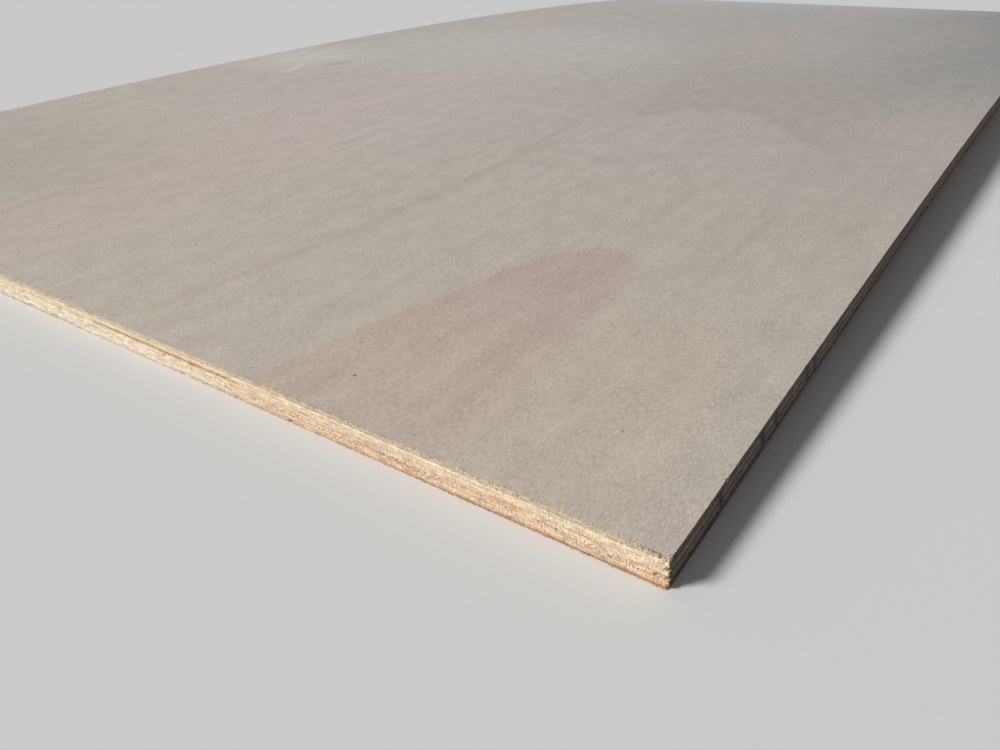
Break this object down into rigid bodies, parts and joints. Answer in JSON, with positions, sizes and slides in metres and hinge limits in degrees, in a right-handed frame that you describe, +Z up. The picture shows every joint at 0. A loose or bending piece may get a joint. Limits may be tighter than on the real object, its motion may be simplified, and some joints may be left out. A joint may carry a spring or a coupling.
{
  "type": "plywood sheet",
  "caption": "Small plywood sheet bowed along its length, laid up from veneers glued crosswise, with raw sawn edges and one broken corner.",
  "frame": {"origin": "centre of the footprint on the floor that the sheet's two short ends stand on", "axes": "+Z up, the hump's side; +Y along the length, from the end with the broken corner to the other; +X across the width, towards the side with the broken corner"},
  "size_m": [0.6, 1.2, 0.0249],
  "materials": {
    "face_veneer": "sanded matte, pinkish grey beige",
    "crossband": "raw sawn, pale cream",
    "longband": "raw sawn, tan with open pores",
    "back_veneer": "raw sawn, pinkish brown"
  },
  "bodies": {
    "root": {"face_veneer": "face_veneer", "upper_crossband": "crossband", "upper_longband": "longband", "core_veneer": "crossband", "lower_longband": "longband", "lower_crossband": "crossband", "back_veneer": "back_veneer"}
  },
  "joints": []
}
